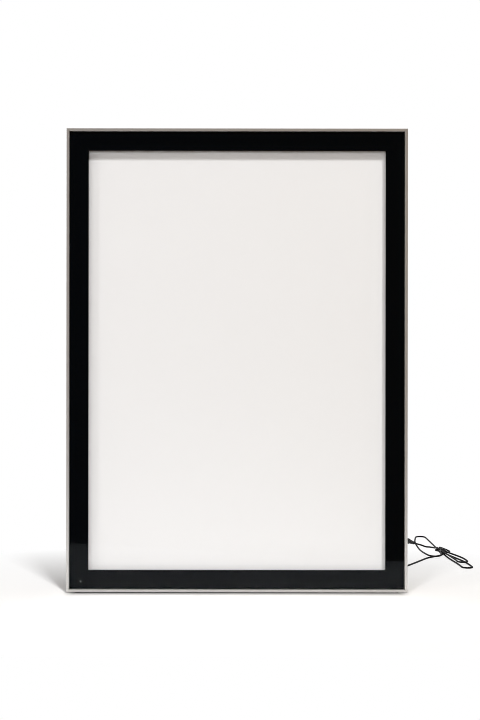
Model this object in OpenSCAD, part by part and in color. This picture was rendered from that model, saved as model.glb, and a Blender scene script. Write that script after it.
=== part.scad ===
// Slim upright light box for a poster. Four mitred aluminium profiles hold an edge-lit stack of
// sheets, and a clear cover with a printed black border is held on their seat by magnets.
// Millimetres. X runs across, the front faces -Y, Z is up, and the origin is the middle of the base.
// In the comments, u is the distance inward from an outer face and v the distance behind the front.

/* [Poster] */
// Width of the poster sheet
poster_w = 500; // [300:1:800]
// Height of the poster sheet
poster_h = 700; // [400:1:1100]
// Lap of the printed border over each poster edge
poster_lap = 7; // [5:0.5:9]
// Gap between a poster edge and the flange that locates it
poster_clear = 0.5; // [0.2:0.1:1]

/* [Cover] */
// Width of the black printed border
border_w = 31.4; // [30:0.2:45]
// Thickness of the clear pane
pane_t = 4; // [3:0.5:6]
// Bevel along the front edges of the pane
pane_bevel = 0.5; // [0.2:0.1:1]
// Thickness of the printed layer
print_t = 0.25; // [0.1:0.05:0.5]
// Gap between the cover's edge and the rim
cover_clear = 0.4; // [0.3:0.1:0.8]
// Depth of the pane below the rim's front
cover_recess = 0.4; // [0.2:0.1:1]
// Thickness of the steel strips behind the border
strip_t = 0.9; // [0.5:0.1:1.5]
// Width of the steel strips
strip_w = 13; // [9:0.5:14]
// Bare length of the border at each end of a strip
strip_end = 45; // [40:1:80]

/* [Profile] */
// Width of the rim, seen from the front
rim_w = 4.6; // [3:0.1:6]
// Radius along the rim's outer edge
rim_r = 0.9; // [0.3:0.1:1.4]
// Width of the profile's hollow tube
tube_w = 22; // [20:0.5:24]
// Wall of the profile
wall = 1.8; // [1.4:0.1:2.2]
// Distance from the seat back to the flange
flange_set = 8.35; // [7:0.05:12]
// Thickness of the flange that the stack bears on
flange_t = 1.6; // [1.2:0.1:2.4]
// Reach of the rear lip past the tube
lip_w = 12; // [9:0.5:16]
// Gap at each mitre
mitre_gap = 0.1; // [0.06:0.02:0.3]
// Thickness of the foot strip under the frame
foot_t = 1.2; // [0.8:0.1:2]
// Depth of the foot strip from its front to its back
foot_w = 23; // [18:0.5:25]
// Distance of the foot strip from the frame's sides
foot_side = 15; // [10:1:40]

/* [Stack] */
// Thickness of the white diffuser panel
diffuser_t = 2; // [1.5:0.5:3]
// Thickness of the light guide plate
guide_t = 5; // [4:0.5:6]
// Thickness of the reflector sheet
reflector_t = 0.5; // [0.2:0.1:1]
// Thickness of the back panel
back_t = 3; // [2:0.5:4]
// Thickness of the foam strips that press the stack forward
foam_t = 1.1; // [0.6:0.1:2]
// Width of the foam strips
foam_w = 6; // [4:0.5:7]
// Thickness of the pads that the stack stands on
pad_t = 1; // [0.5:0.1:1.5]
// Length of a pad
pad_l = 40; // [20:1:80]
// Gap above the stack for its growth in heat
stack_play = 1.5; // [0.5:0.1:2]

/* [Lighting] */
// Thickness of a lamp board
board_t = 1.2; // [0.8:0.1:1.6]
// Width of a lamp board
board_w = 5.6; // [4.5:0.1:6]
// Gap from each end of a lamp board to the tube beside it
board_end = 8; // [4:1:20]
// Thickness of a lamp chip
chip_t = 0.8; // [0.5:0.1:1]
// Width of a lamp chip
chip_w = 3; // [2:0.1:3.6]
// Length of a lamp chip
chip_l = 5.6; // [3:0.1:7]
// Pitch of the lamp chips
chip_pitch = 20; // [10:1:40]
// Gap between the chips and the light guide plate
led_clear = 0.6; // [0.3:0.1:1]

/* [Magnets] */
// Diameter of a disc magnet
magnet_d = 12; // [8:0.5:12.5]
// Thickness of a disc magnet
magnet_t = 3; // [2:0.5:4]
// Gap between the magnets and the cover's strips
magnet_gap = 0.1; // [0.05:0.05:0.3]
// Radial gap round a magnet
magnet_fit = 0.1; // [0.05:0.05:0.2]
// Distance of the end magnets from the corners
magnet_end = 75; // [65:1:110]
// Magnets on each short side
magnets_short = 4; // [2:1:6]
// Magnets on each long side
magnets_long = 5; // [2:1:8]

/* [Corner joints] */
// Length of a corner key's legs
key_leg = 50; // [40:1:55]
// Thickness of a corner key
key_t = 9; // [7:0.5:9.5]
// Gap between a key and the tube's walls
key_fit = 0.15; // [0.1:0.05:0.3]
// Diameter of the screw holes' thread
screw_d = 3; // [2.5:0.5:4]
// Diameter of the countersunk head
screw_head_d = 5.6; // [5:0.1:7]
// Height of the countersunk head
screw_head_h = 1.5; // [1:0.1:2]
// Length of a screw
screw_l = 8.5; // [6:0.5:9]
// Gap round a screw
screw_fit = 0.1; // [0.05:0.05:0.3]
// Distance of a screw from the end of its leg
screw_back = 14; // [8:1:20]

/* [Wall hanging] */
// Distance of each keyhole from the side of the frame
keyhole_side = 79; // [70:1:110]
// Radius of a keyhole's round entry
keyhole_r = 4.5; // [4:0.1:5]
// Width of a keyhole's slot
keyhole_slot = 5; // [4:0.1:6]
// Travel from the entry to the slot's end
keyhole_travel = 7; // [6:0.5:8]

/* [Touch switch] */
// Distance of the touch light from the frame's left face
touch_side = 23.2; // [22:0.1:30]
// Diameter of the hole in the print
touch_dot_d = 2.4; // [1.5:0.1:3]
// Diameter of the light pipe
touch_pipe_d = 3; // [2:0.1:3.2]
// Outer diameter of the touch electrode
touch_ring_d = 5.6; // [5:0.1:6]
// Radial gap round the electrode and round the pipe
touch_fit = 0.2; // [0.1:0.05:0.3]
// Length of the touch board
touch_board_l = 30; // [24:1:40]
// Height of the touch board
touch_board_h = 13; // [10:0.5:14]
// Thickness of the touch board
touch_board_t = 1.2; // [0.8:0.1:1.6]
// Thickness of the pads under the touch board
touch_pad_t = 2; // [1.5:0.1:3]

/* [Cord and plug] */
// Diameter of the cord
cord_d = 3.2; // [2.4:0.1:3.4]
// Distance of the cord's gland from the frame's right face
gland_side = 89; // [70:1:140]
// Diameter of the gland's shank
gland_d = 6.6; // [6:0.1:8]
// Diameter of the gland's flange
gland_flange_d = 11; // [10:0.5:14]
// Length of the gland's tapered tail
gland_tail = 15; // [12:1:20]
// Radial gap round the shank and inside the gland
gland_fit = 0.2; // [0.1:0.05:0.3]
// Thickness of the gland's nut
nut_t = 3; // [2:0.5:4]
// Width of the gland's nut across its corners
nut_d = 11; // [9.5:0.5:13]
// Diameter of the wires inside the frame
wire_d = 1.8; // [1.2:0.1:2]
// Diameter of the plug's body
plug_d = 11; // [9:0.5:11]
// Length of the plug's body
plug_l = 24; // [20:1:30]
// Length of the plug's tapered boot
boot_l = 26; // [20:1:32]
// Diameter of the plug's barrel
barrel_d = 5.5; // [5.5:0.1:6]
// Length of the barrel outside the body
barrel_l = 9.5; // [9:0.5:12]
// Wall of the barrel
barrel_wall = 0.4; // [0.3:0.1:0.6]
// Depth of the barrel's root inside the body
barrel_root = 6; // [4:0.5:10]
// Diameter of the hole in the barrel's insulator
barrel_pin_d = 2.1; // [2.1:0.1:2.5]
// Thickness of the hank's tie
tie_t = 0.8; // [0.5:0.1:1]
// Width of the hank's tie
tie_w = 5; // [3:0.5:5]

/* [Hidden] */
$fn = 48;
SIDES = ["bottom", "left", "top", "right"];

// Depths behind the front plane, one layer after another
print_v = cover_recess + pane_t;
strip_v = print_v + print_t;
seat_v = strip_v + strip_t + magnet_gap;
flange_v = seat_v + flange_set;
stack_v = flange_v + flange_t;
guide_v = stack_v + diffuser_t;
reflector_v = guide_v + guide_t;
back_v = reflector_v + reflector_t;
foam_v = back_v + back_t;
lip_v = foam_v + foam_t;
depth = lip_v + wall;
guide_mid_v = guide_v + guide_t / 2;
rear_y = depth / 2;

// Distances inward from the outer faces
cover_u = rim_w + cover_clear;
window_u = rim_w + border_w;
seat_mid_u = (cover_u + tube_w - wall) / 2;
tube_mid_u = tube_w / 2;
flange_u = window_u - poster_lap - poster_clear;
lip_u = tube_w + lip_w;
sheet_u = tube_w + board_t + chip_t + led_clear;
back_u = (sheet_u + lip_u) / 2;

// The frame's outside
outer_w = poster_w - 2 * poster_lap + 2 * window_u;
outer_h = poster_h - 2 * poster_lap + 2 * window_u;

// The touch switch, behind the bottom profile's seat
touch_margin = 0.1;
touch_hole_d = touch_ring_d + 3 * touch_fit;
touch_x = touch_side - outer_w / 2;
touch_z = tube_w - wall - touch_hole_d / 2 - touch_margin;
touch_front_v = seat_v + magnet_gap;
touch_board_v = seat_v + wall + touch_pad_t;
touch_board_back_v = touch_board_v + touch_board_t;
touch_board_shift = 5;
touch_board_rise = 1;
touch_board_x = touch_x + touch_board_shift;
touch_board_z = tube_mid_u + touch_board_rise;
touch_pad_l = 4;
touch_pad_h = touch_board_h - 2;

// The cord's gland, the holes for the lamp wires and the keyholes
gland_x = outer_w / 2 - gland_side;
gland_z = foot_t + tube_mid_u;
gland_flange_t = 1.5;
gland_end = 1;
gland_inner_v = lip_v - nut_t - gland_end;
wire_hole_fit = 0.6;
wire_hole_d = wire_d + 2 * wire_hole_fit;
wire_hole_gap = 12;
wire_hole_z = key_leg + wire_hole_gap;
keyhole_shift = 3;
keyhole_u = tube_mid_u + keyhole_shift;
screw_end = key_leg - screw_back;
board_l = outer_h - 2 * (tube_w + board_end);
bore_extra = 1;

// The hank: it lies along Y behind the frame's right side, tied at its waist
tie_x = 401;
tie_y = 338;
layer_gap = 0.6;
strand_gap = 0.7;
tie_fit = 0.15;
floor_gap = 0.05;
layer_h = cord_d + layer_gap;
tie_lift = tie_t + tie_fit + floor_gap;
strand_step = cord_d + strand_gap;
lift_reach = 60;
floor_z = cord_d / 2 + floor_gap;
fold_r = 3 * cord_d;
// Where the lead crosses the waist, and then the half loops: in steps across, and in which layer
waist_columns = 2;
waist_rows = 3;
lead_step = -0.5;
lead_layer = 0;
waist_steps = [-0.5, 0.5, 0.5, 0.5, -0.5];
waist_layers = [1, 1, 0, 2, 2];
// Each half loop: its reach, the way that it turns, middle of its end, belly going out and coming back,
// the two shares of its line between which it changes layer, and the layers that it sinks towards its end.
// Reach is positive behind the tie and negative in front of it.
half_loops = [
    [  32,  1,  0, 0, 0, 0,   1,   0],
    [-139,  1, 21, 4, 0, 0,   0.3, 0],
    [  42, -1, 10, 0, 0, 0.3, 0.7, 0],
    [-105,  1, 19, 3, 0, 0,   1,   1]
];
sink_reach = 129;
// Length that the cord runs straight on each side of the tie's middle, and the steps of a run and of an end
tie_still = 3;
run_steps = 4;
end_steps = 6;
// Share of a half loop's parameter that each run takes
run_share = 0.3;
hank_sides = 6;
cord_sides = 8;

// The plug lies on the floor behind the frame, turned from +Y
plug_turn = 18;
plug_x = 363;
plug_y = 447;
plug_z = plug_d / 2 + 2 * floor_gap;
boot_wall = 0.8;
boot_bore_l = 8;
boot_rib = 0.5;
boot_ribs = 5;
plug_fit = 0.05;
root_d = barrel_d - barrel_wall;
insulator_d = root_d - 2 * barrel_wall - 2 * plug_fit;

function y_at(v) = v - depth / 2;
function unit(a) = a / norm(a);
function mix(a, b, k) = a + (b - a) * k;
function ease(k) = k * k * (3 - 2 * k);
function clamp01(k) = max(0, min(1, k));
function side_length(side) = side == "left" || side == "right" ? outer_h : outer_w;
function side_magnets(side) = side == "left" || side == "right" ? magnets_long : magnets_short;
function spread(count, span) = [for (i = [0 : count - 1]) -span / 2 + i * span / (count - 1)];

// A smooth path through hand-set points, with a number of steps between two of them. Its first and last
// stretches are straight. At each point between, it heads midway between its two neighbours.
function way(p, i) =
    i <= 1 ? unit(p[1] - p[0]) :
    i >= len(p) - 2 ? unit(p[len(p) - 1] - p[len(p) - 2]) :
    unit(unit(p[i] - p[i - 1]) + unit(p[i + 1] - p[i]));
function reach(p, i) = min([for (j = [max(i - 1, 0) : min(i, len(p) - 2)]) norm(p[j + 1] - p[j])]);
function pull(p, i) = reach(p, i) * way(p, i);
function curve_point(p, i, k) =
    p[i] * (1 + 2 * k) * (1 - k) * (1 - k) + pull(p, i) * k * (1 - k) * (1 - k)
    + p[i + 1] * k * k * (3 - 2 * k) + pull(p, i + 1) * k * k * (k - 1);
function smooth_path(p, steps) = concat(
    [for (i = [0 : len(p) - 2]) for (s = [0 : steps - 1]) curve_point(p, i, s / steps)],
    [p[len(p) - 1]]
);

// A tube swept along a path, with its rings carried along without twist
function headings(p) = [
    for (i = [0 : len(p) - 1]) unit(p[min(i + 1, len(p) - 1)] - p[max(i - 1, 0)])
];
function square_to(h) = unit(cross(h, abs(h[2]) < 0.9 ? [0, 0, 1] : [0, 1, 0]));
function carried(hs, done) =
    len(done) == len(hs) ? done :
    let (h = hs[len(done)], last = done[len(done) - 1])
    carried(hs, concat(done, [unit(last - (last * h) * h)]));
module tube(p, d, sides) {
    hs = headings(p);
    ns = carried(hs, [square_to(hs[0])]);
    rings = [
        for (i = [0 : len(p) - 1]) for (k = [0 : sides - 1])
            p[i] + d / 2 * (cos(360 * k / sides) * ns[i] + sin(360 * k / sides) * cross(hs[i], ns[i]))
    ];
    last = (len(p) - 1) * sides;
    walls = [
        for (i = [0 : len(p) - 2]) for (k = [0 : sides - 1])
            let (a = i * sides + k, b = i * sides + (k + 1) % sides)
            each [[a, a + sides, b + sides], [a, b + sides, b]]
    ];
    start_cap = [for (k = [1 : sides - 2]) [0, k, k + 1]];
    end_cap = [for (k = [1 : sides - 2]) [last, last + k + 1, last + k]];
    polyhedron(points = rings, faces = concat(walls, start_cap, end_cap), convexity = 10);
}

// A point of the waist, and a height above the floor counted in layers
function waist_point(step, layer) =
    [tie_x + step * strand_step, tie_y, cord_d / 2 + layer_h * layer + tie_lift];
function level(layer) = floor_z + layer_h * layer;

// A point of half loop j at k from 0 to 1: out along a run, round the end and back along the other run
function still_share(j) = tie_still / (abs(half_loops[j][0]) - fold_r);
function run_across(j, step, end, belly, k) =
    let (bent = clamp01((k - still_share(j)) / (1 - still_share(j))))
    mix(step * strand_step, end, ease(bent)) + belly * pow(sin(180 * bent), 2);
function half_loop_plan(j, k) =
    let (
        h = half_loops[j],
        side = h[0] > 0 ? 1 : -1,
        half = side * h[1] * fold_r,
        run = abs(h[0]) - fold_r,
        out_k = k / run_share,
        back_k = (1 - k) / run_share,
        turn = 180 * (k - run_share) / (1 - 2 * run_share)
    )
    k < run_share ? [run_across(j, waist_steps[j], h[2] - half, h[3], out_k), side * run * out_k] :
    k > 1 - run_share ? [run_across(j, waist_steps[j + 1], h[2] + half, h[4], back_k), side * run * back_k] :
    [h[2] - half * cos(turn), side * (run + fold_r * sin(turn))];
function half_loop_layer(j, k, along) =
    let (h = half_loops[j])
    mix(waist_layers[j], waist_layers[j + 1], ease(clamp01((k - h[5]) / (h[6] - h[5]))))
    - h[7] * ease(clamp01(along / sink_reach));
function half_loop_point(j, k) =
    let (
        plan = half_loop_plan(j, k),
        along = abs(plan[1]),
        lift = tie_lift * (1 - ease(clamp01(along / lift_reach)))
    )
    [tie_x + plan[0], tie_y + plan[1], cord_d / 2 + layer_h * half_loop_layer(j, k, along) + lift];

// The long rear loop: from the lead back through the tie, round, and past the tie's left to its front
tie_run = 6;
lead_in = waist_point(lead_step, lead_layer);
loop_in = waist_point(waist_steps[0], waist_layers[0]);
rear_loop = [
    lead_in, lead_in + [0, tie_run, 0],
    [400, 362, level(0.1)], [401.5, 395, floor_z], [402, 440, floor_z], [402, 490, floor_z],
    [402, 530, floor_z], [401.5, 546, floor_z], [398.5, 553, floor_z], [391.8, 556, floor_z],
    [385, 553, floor_z], [381, 544, floor_z], [376.5, 522, floor_z], [371.5, 494, floor_z],
    [368, 460, floor_z],
    [366, 425, floor_z], [365, 395, floor_z], [364.8, 365, level(0.3)], [365, 340, level(0.7)],
    [366, 319, level(1)], [369, 305.5, level(1)], [375.5, 297.5, level(1)], [383.5, 297, level(1)],
    [390, 303.5, level(1)], [395, 314, level(1.1)], [398, 324, level(1.2)],
    loop_in - [0, tie_run, 0], loop_in
];
rear_steps = 2;
rear_line = smooth_path(rear_loop, rear_steps);

// The hank's own line, straight for one diameter at both ends
function run_ring(j, s) = run_share * mix(still_share(j), 1, s / run_steps);
function half_loop_rings(j) = concat(
    [0], [for (s = [0 : run_steps - 1]) run_ring(j, s)],
    [for (s = [0 : end_steps]) mix(run_share, 1 - run_share, s / end_steps)],
    [for (s = [run_steps - 1 : -1 : 0]) 1 - run_ring(j, s)]
);
last_half = len(half_loops) - 1;
hank_start = lead_in - [0, cord_d, 0];
hank_finish = half_loop_point(last_half, 1) + [0, cord_d, 0];
hank_path = concat(
    [hank_start],
    [for (i = [0 : len(rear_line) - 2]) rear_line[i]],
    [for (j = [0 : last_half]) for (k = half_loop_rings(j)) half_loop_point(j, k)],
    [half_loop_point(last_half, 1), hank_finish]
);

// The least gap between stretches of the hank that don't follow each other
function to_segment(p, a, b) =
    let (k = clamp01((p - a) * (b - a) / ((b - a) * (b - a)))) norm(p - a - (b - a) * k);
near_rings = 4;
hank_gap = min([
    for (i = [0 : len(hank_path) - 1]) for (j = [0 : len(hank_path) - 2])
        if (abs(i - j) > near_rings) to_segment(hank_path[i], hank_path[j], hank_path[j + 1])
]) - cord_d;

// The lead: out of the gland, down to the floor and straight to the tie
gland_tip_y = rear_y + gland_flange_t + gland_tail;
lead_route = [
    [gland_x, y_at(gland_inner_v), gland_z],
    [gland_x, rear_y, gland_z],
    [gland_x, gland_tip_y, gland_z],
    [191.5, 40, 11.8], [197, 48, 10], [207, 58, 6.6], [222, 78, 3.2],
    [236, 98, 1.9], [252, 122, floor_z], [268, 147, floor_z], [284, 172, floor_z],
    [300, 197, floor_z], [316, 222, floor_z], [332, 247, floor_z], [348, 273, floor_z],
    [364, 298, floor_z], [375, 309.5, floor_z], [386, 317.5, level(0.1)], [394, 323.5, level(0.2)],
    hank_start - [0, cord_d, 0],
    hank_start
];
lead_steps = 3;

// The loose end: over the small loops and down inside the rear loop, then over its left strand to the plug
plug_heading = [-sin(plug_turn), cos(plug_turn), 0];
boot_start = [plug_x, plug_y, plug_z];
tail_route = [
    hank_finish,
    hank_finish + [0, cord_d, 0],
    [396.8, 355, level(2.2)], [396, 369, level(2.1)], [396.5, 385, level(1.4)], [397.3, 402, level(0.5)],
    [395.5, 415, level(0.1)], [389.5, 421, level(0.1)], [382, 420.5, level(0.3)], [374, 424, level(0.95)],
    boot_start - cord_d * plug_heading,
    boot_start,
    boot_start + boot_bore_l * plug_heading
];
tail_steps = 2;

// Wires inside the tube, tied to the boards that they join
wire_lane_v = touch_board_back_v + 4;
wire_floor_u = wall + wire_d / 2 + 0.3;
left_lane_x = tube_mid_u - outer_w / 2;
board_face_x = outer_w / 2 - tube_w;
supply_lane_z = wire_floor_u + 2 * wire_d;
supply_route = [
    [gland_x, y_at(gland_inner_v), tube_mid_u],
    [gland_x, y_at(gland_inner_v - 3), tube_mid_u],
    [gland_x - 6, y_at(wire_lane_v + 1), supply_lane_z + 1],
    [gland_x - 20, y_at(wire_lane_v), supply_lane_z],
    [gland_x - 34, y_at(wire_lane_v), supply_lane_z],
    [touch_board_x + 38, y_at(wire_lane_v), supply_lane_z],
    [touch_board_x + 24, y_at(wire_lane_v), supply_lane_z],
    [touch_board_x + 10, y_at(wire_lane_v), touch_board_z - 2],
    [touch_board_x + 6, y_at(touch_board_back_v + 2), touch_board_z],
    [touch_board_x + 6, y_at(touch_board_back_v), touch_board_z]
];
left_route = [
    [touch_x - 3, y_at(touch_board_back_v), touch_board_z],
    [touch_x - 3, y_at(touch_board_back_v + 2), touch_board_z],
    [left_lane_x + 2, y_at(wire_lane_v), touch_board_z + 5],
    [left_lane_x, y_at(wire_lane_v), touch_board_z + 14],
    [left_lane_x, y_at(wire_lane_v), wire_hole_z - 18],
    [left_lane_x + 2, y_at(guide_mid_v - 2), wire_hole_z - 3],
    [-board_face_x - wall - 1, y_at(guide_mid_v), wire_hole_z],
    [-board_face_x, y_at(guide_mid_v), wire_hole_z]
];
right_route = [
    [touch_board_x + 12, y_at(touch_board_back_v), touch_board_z - 3],
    [touch_board_x + 12, y_at(touch_board_back_v + 2), touch_board_z - 3],
    [touch_board_x + 18, y_at(wire_lane_v), wire_floor_u + 1],
    [touch_board_x + 30, y_at(wire_lane_v), wire_floor_u],
    [touch_board_x + 44, y_at(wire_lane_v), wire_floor_u],
    [-left_lane_x - 28, y_at(wire_lane_v), wire_floor_u],
    [-left_lane_x - 14, y_at(wire_lane_v), wire_floor_u],
    [-left_lane_x - 2, y_at(wire_lane_v), wire_floor_u + 4],
    [-left_lane_x, y_at(wire_lane_v), wire_floor_u + 16],
    [-left_lane_x, y_at(wire_lane_v), wire_hole_z - 18],
    [-left_lane_x - 2, y_at(guide_mid_v - 2), wire_hole_z - 3],
    [board_face_x + wall + 1, y_at(guide_mid_v), wire_hole_z],
    [board_face_x, y_at(guide_mid_v), wire_hole_z]
];
wire_steps = 3;

// Puts the box, which is drawn with its lower face at zero, on its foot strip
module raised() {
    translate([0, 0, foot_t]) children();
}

// Puts what is drawn along X, with Z pointing inward, on one side of the frame
module on_side(side) {
    place = side == "bottom" ? [0, 0, 0] : side == "top" ? [0, 0, outer_h] :
        [side == "left" ? -outer_w / 2 : outer_w / 2, 0, outer_h / 2];
    turn = side == "bottom" ? 0 : side == "top" ? 180 : side == "left" ? 90 : -90;
    translate(place) rotate([0, turn, 0]) children();
}

// A block between two distances along, two depths and two distances inward
module block(x0, x1, v0, v1, u0, u1) {
    translate([x0, y_at(v0), u0]) cube([x1 - x0, v1 - v0, u1 - u0]);
}

// A round bar along the depth, from one depth to another
module depth_bar(d, v0, v1) {
    translate([0, y_at(v0), 0]) rotate([-90, 0, 0]) cylinder(d = d, h = v1 - v0);
}

// A strip of the profile's section
module strip(u0, u1, v0, v1) {
    translate([u0, v0]) square([u1 - u0, v1 - v0]);
}

// A strip whose inner end is round
module round_strip(u0, u1, v0, t) {
    strip(u0, u1 - t / 2, v0, v0 + t);
    translate([u1 - t / 2, v0 + t / 2]) circle(d = t);
}

// What rounding takes off a corner of the section at u, v that points outward by its signs
module corner_ease(u, v, r, sign_u, sign_v) {
    translate([u, v]) scale([sign_u, sign_v]) difference() {
        translate([-r, -r]) square(r + bore_extra);
        translate([-r, -r]) circle(r = r);
        translate([-r - bore_extra, -r - bore_extra]) square([bore_extra, 2 * r + 3 * bore_extra]);
        translate([-r - bore_extra, -r - bore_extra]) square([2 * r + 3 * bore_extra, bore_extra]);
    }
}

// The profile's section: outer wall, rim, seat, inner wall, flange and rear wall with its lip
module frame_section() {
    difference() {
        union() {
            strip(0, wall, 0, depth);
            strip(0, rim_w, 0, seat_v);
            strip(0, tube_w, seat_v, seat_v + wall);
            strip(tube_w - wall, tube_w, seat_v, depth);
            round_strip(tube_w - wall, flange_u, flange_v, flange_t);
            round_strip(0, lip_u, lip_v, wall);
        }
        corner_ease(0, 0, rim_r, -1, -1);
        corner_ease(0, depth, rim_r, -1, 1);
        corner_ease(rim_w, 0, rim_r / 2, 1, -1);
    }
}

// A bar of the profile, cut at 45 degrees at both ends
module frame_bar(length) {
    end = length / 2 - mitre_gap / 2;
    intersection() {
        rotate([0, -90, 0]) linear_extrude(length, center = true) translate([0, -depth / 2]) frame_section();
        rotate([90, 0, 0]) linear_extrude(2 * depth, center = true)
            polygon([[-end, 0], [end, 0], [end - lip_u, lip_u], [lip_u - end, lip_u]]);
    }
}

// The holes that every profile has: seats for magnets, and countersunk screw holes near both ends
module common_holes(side) {
    length = side_length(side);
    for (x = spread(side_magnets(side), length - 2 * magnet_end))
        translate([x, 0, seat_mid_u])
            depth_bar(magnet_d + 2 * magnet_fit, seat_v - bore_extra, seat_v + wall + bore_extra);
    for (x = [screw_end - length / 2, length / 2 - screw_end])
        translate([x, 0, tube_mid_u]) screw_space(lip_v - bore_extra);
}

// The room for a screw: its shank from a given depth, and its countersunk head
module screw_space(v0) {
    depth_bar(screw_d + 2 * screw_fit, v0, depth + bore_extra);
    translate([0, rear_y, 0]) rotate([90, 0, 0])
        cylinder(d1 = screw_head_d + 2 * screw_fit, d2 = screw_d + 2 * screw_fit, h = screw_head_h);
}

// A hole through the inner wall for a lamp wire, near the frame's foot
module wire_hole(x) {
    translate([x, y_at(guide_mid_v), tube_w - wall - bore_extra])
        cylinder(d = wire_hole_d, h = wall + 2 * bore_extra);
}

// A keyhole in the rear wall, with its slot towards the outer face
module keyhole(x) {
    translate([x, 0, keyhole_u]) depth_bar(2 * keyhole_r, lip_v - bore_extra, depth + bore_extra);
    translate([x, 0, keyhole_u - keyhole_travel])
        depth_bar(keyhole_slot, lip_v - bore_extra, depth + bore_extra);
    block(x - keyhole_slot / 2, x + keyhole_slot / 2, lip_v - bore_extra, depth + bore_extra,
        keyhole_u - keyhole_travel, keyhole_u);
}

module frame_top() {
    color("silver") on_side("top") difference() {
        frame_bar(outer_w);
        common_holes("top");
        keyhole(keyhole_side - outer_w / 2);
        keyhole(outer_w / 2 - keyhole_side);
    }
}

module frame_bottom() {
    color("silver") on_side("bottom") difference() {
        frame_bar(outer_w);
        common_holes("bottom");
        translate([touch_x, 0, touch_z])
            depth_bar(touch_hole_d, seat_v - bore_extra, seat_v + wall + bore_extra);
        translate([gland_x, 0, tube_mid_u])
            depth_bar(gland_d + 2 * gland_fit, lip_v - bore_extra, depth + bore_extra);
    }
}

module frame_left() {
    color("silver") on_side("left") difference() {
        frame_bar(outer_h);
        common_holes("left");
        wire_hole(outer_h / 2 - wire_hole_z);
    }
}

module frame_right() {
    color("silver") on_side("right") difference() {
        frame_bar(outer_h);
        common_holes("right");
        wire_hole(wire_hole_z - outer_h / 2);
    }
}

// A rubber strip that the frame stands on
module foot_strip() {
    half_l = outer_w / 2 - foot_side;
    color("black") block(-half_l, half_l, (depth - foot_w) / 2, (depth + foot_w) / 2, -foot_t, 0);
}

// An angled key that fills the rear of the tube at one corner, with a threaded hole in each leg
module corner_key(sign_x, sign_z) {
    low = wall + key_fit;
    high = tube_w - wall - key_fit;
    front_v = lip_v - key_t;
    color("gray")
    translate([0, 0, outer_h / 2]) scale([sign_x, 1, sign_z]) translate([-outer_w / 2, 0, -outer_h / 2])
        difference() {
            union() {
                block(low, key_leg, front_v, lip_v, low, high);
                block(low, high, front_v, lip_v, low, key_leg);
            }
            for (place = [[screw_end, 0, tube_mid_u], [tube_mid_u, 0, screw_end]])
                translate(place) depth_bar(screw_d + 2 * screw_fit, front_v - bore_extra, lip_v + bore_extra);
        }
}

module corner_key_top_left() { corner_key(1, -1); }
module corner_key_top_right() { corner_key(-1, -1); }
module corner_key_bottom_left() { corner_key(1, 1); }
module corner_key_bottom_right() { corner_key(-1, 1); }

// A countersunk screw with a cross recess, its head flush with the rear wall
module corner_screw() {
    recess_l = 3.4;
    recess_w = 0.9;
    recess_h = 1;
    difference() {
        union() {
            depth_bar(screw_d, depth - screw_l, depth);
            translate([0, rear_y, 0]) rotate([90, 0, 0])
                cylinder(d1 = screw_head_d, d2 = screw_d, h = screw_head_h);
        }
        for (turn = [0, 90])
            rotate([0, turn, 0])
                block(-recess_l / 2, recess_l / 2, depth - recess_h, depth + bore_extra,
                    -recess_w / 2, recess_w / 2);
    }
}

module corner_screws() {
    color("dimgray") for (side = SIDES) on_side(side)
        for (x = [screw_end - side_length(side) / 2, side_length(side) / 2 - screw_end])
            translate([x, 0, tube_mid_u]) corner_screw();
}

module frame_magnets() {
    color("lightgray") for (side = SIDES) on_side(side)
        for (x = spread(side_magnets(side), side_length(side) - 2 * magnet_end))
            translate([x, 0, seat_mid_u]) depth_bar(magnet_d, seat_v, seat_v + magnet_t);
}

// A sheet of the stack, standing on the pads between the two lamp boards
module stack_sheet(v, t) {
    block(sheet_u - outer_w / 2, outer_w / 2 - sheet_u, v, v + t,
        tube_w + pad_t, outer_h - tube_w - stack_play);
}

module diffuser_panel() { color("white") stack_sheet(stack_v, diffuser_t); }
module light_guide_plate() { color("lightcyan") stack_sheet(guide_v, guide_t); }
module reflector_sheet() { color("white") stack_sheet(reflector_v, reflector_t); }
module back_panel() { color("gainsboro") stack_sheet(back_v, back_t); }

// Foam strips between the back panel and the rear lip
module back_foam() {
    side_end = outer_h / 2 - back_u - foam_w / 2;
    color("darkslategray") {
        for (side = ["bottom", "top"]) on_side(side)
            block(back_u - foam_w / 2 - outer_w / 2, outer_w / 2 - back_u + foam_w / 2, foam_v, lip_v,
                back_u - foam_w / 2, back_u + foam_w / 2);
        for (side = ["left", "right"]) on_side(side)
            block(foam_w - side_end, side_end - foam_w, foam_v, lip_v,
                back_u - foam_w / 2, back_u + foam_w / 2);
    }
}

module sheet_pads() {
    color("black") for (x = [-poster_w / 4, poster_w / 4])
        block(x - pad_l / 2, x + pad_l / 2, stack_v, foam_v, tube_w, tube_w + pad_t);
}

module led_board(side) {
    color("white") on_side(side)
        block(-board_l / 2, board_l / 2, guide_mid_v - board_w / 2, guide_mid_v + board_w / 2,
            tube_w, tube_w + board_t);
}

module led_chips(side) {
    count = floor((board_l - 2 * chip_l) / chip_pitch) + 1;
    color("khaki") on_side(side) for (x = spread(count, (count - 1) * chip_pitch))
        block(x - chip_l / 2, x + chip_l / 2, guide_mid_v - chip_w / 2, guide_mid_v + chip_w / 2,
            tube_w + board_t, tube_w + board_t + chip_t);
}

module led_board_left() { led_board("left"); }
module led_board_right() { led_board("right"); }
module led_chips_left() { led_chips("left"); }
module led_chips_right() { led_chips("right"); }

module touch_board() {
    color("darkgreen")
        block(touch_board_x - touch_board_l / 2, touch_board_x + touch_board_l / 2,
            touch_board_v, touch_board_back_v,
            touch_board_z - touch_board_h / 2, touch_board_z + touch_board_h / 2);
}

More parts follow.
